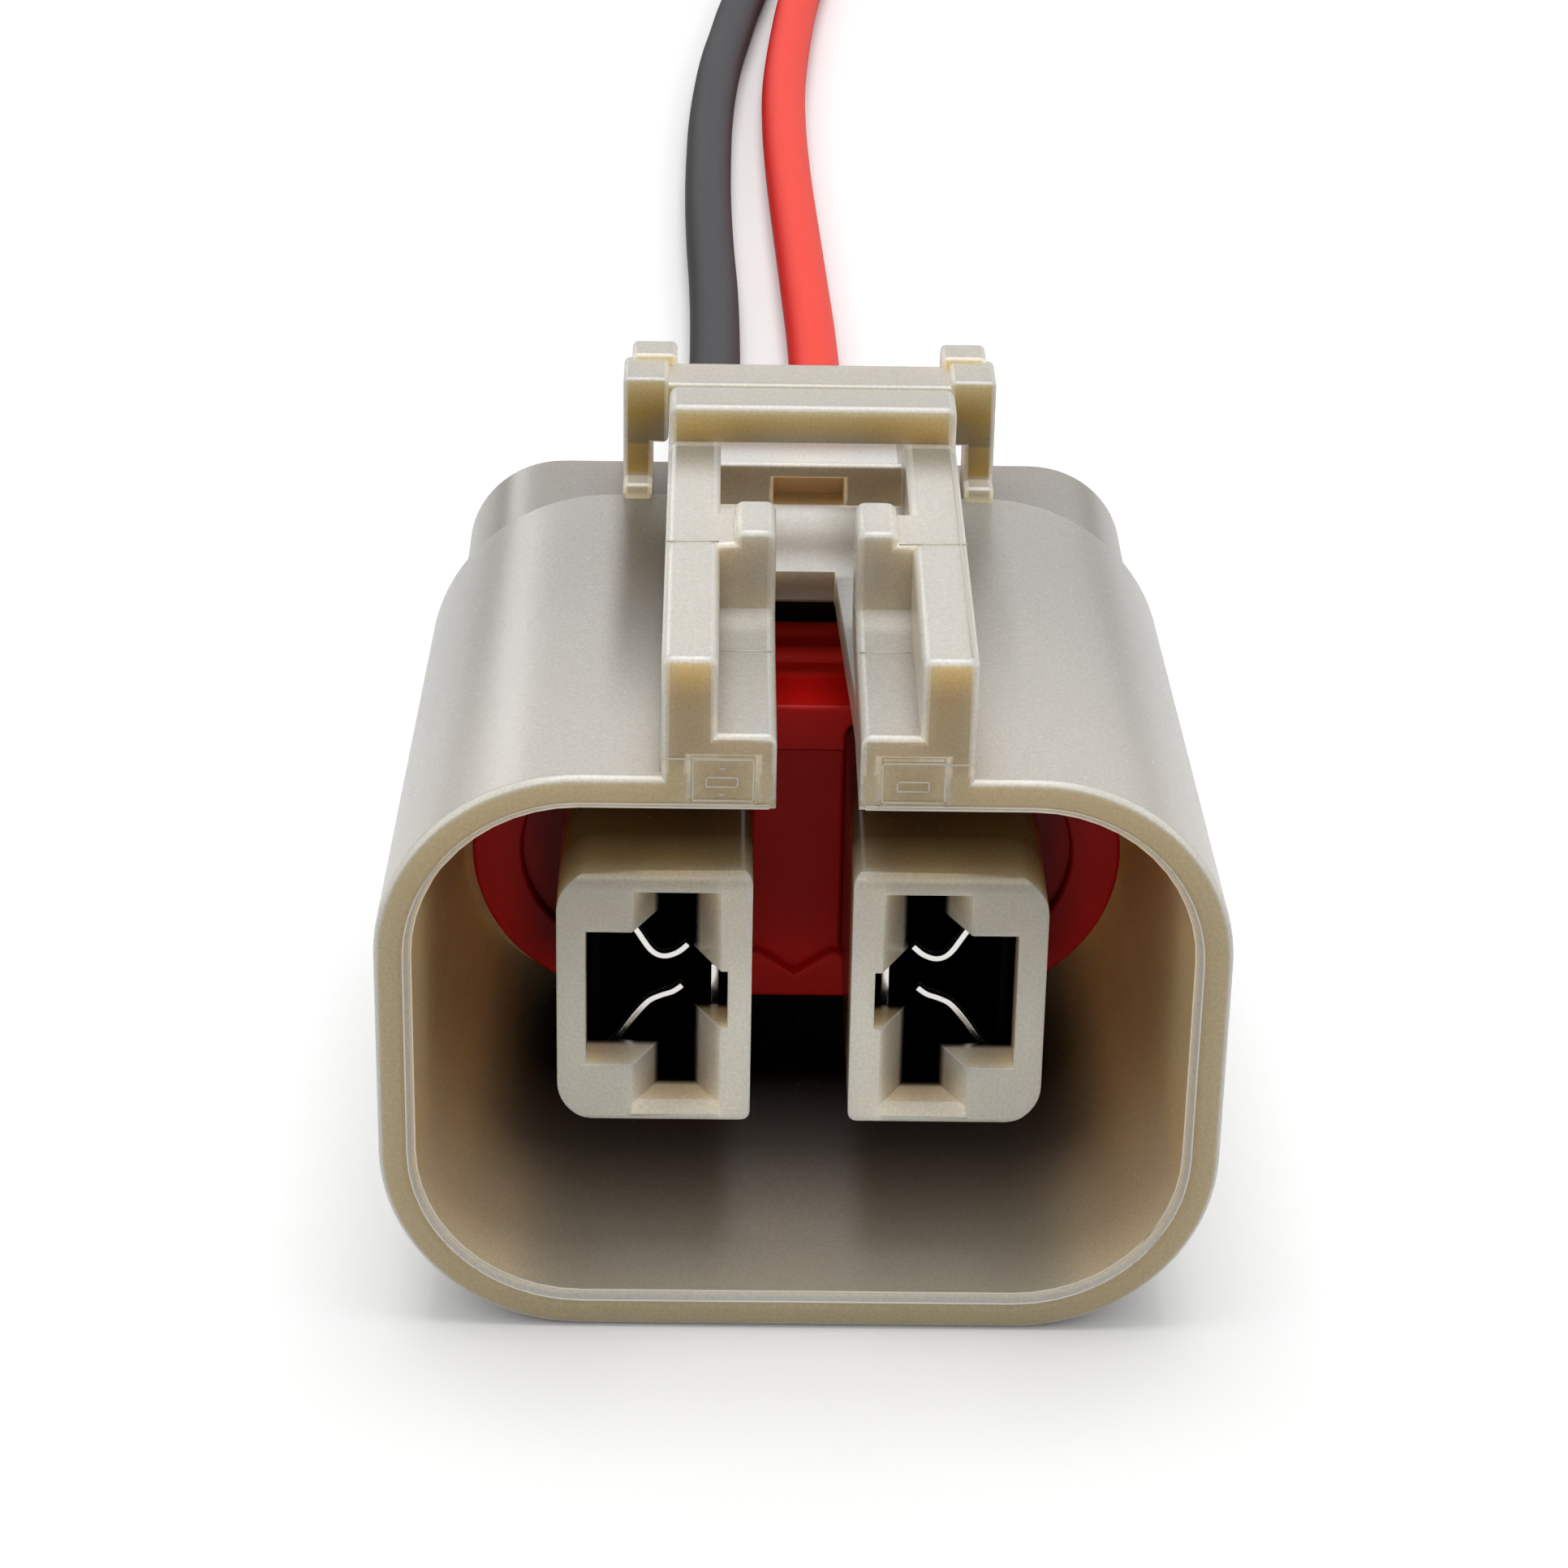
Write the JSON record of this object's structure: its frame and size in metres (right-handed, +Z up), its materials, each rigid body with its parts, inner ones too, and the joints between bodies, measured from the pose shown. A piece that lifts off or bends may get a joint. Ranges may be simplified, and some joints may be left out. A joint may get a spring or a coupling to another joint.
{
  "type": "alternator wiring plug",
  "caption": "Sealed automotive wiring plug: rounded hood with terminal towers, red interface seal, press latch with a guard arch, and insulated leads with bare ends.",
  "frame": {"origin": "middle of the housing's footprint, on the underside of the hood", "axes": "+Y from the mouth of the hood towards the leads, +Z up through the latch, +X to the right when looking into the mouth"},
  "size_m": [0.03, 0.1789, 0.0282],
  "materials": {
    "housing_plastic": "pale warm grey moulded plastic with a fine grain, slightly translucent",
    "seal_silicone": "dark red silicone, satin",
    "terminal_metal": "bright tin plate over stamped brass",
    "black_insulation": "dark grey extruded insulation, satin",
    "red_insulation": "bright red extruded insulation, satin",
    "copper": "bare copper strands"
  },
  "bodies": {
    "root": {"housing": "housing_plastic", "interface_seal": "seal_silicone", "left_terminal": "terminal_metal", "right_terminal": "terminal_metal", "left_wire_seal": "seal_silicone", "right_wire_seal": "seal_silicone", "black_wire": "black_insulation", "red_wire": "red_insulation", "black_crimped_strands": "copper", "red_crimped_strands": "copper", "black_bare_strands": "copper", "red_bare_strands": "copper"}
  },
  "joints": []
}
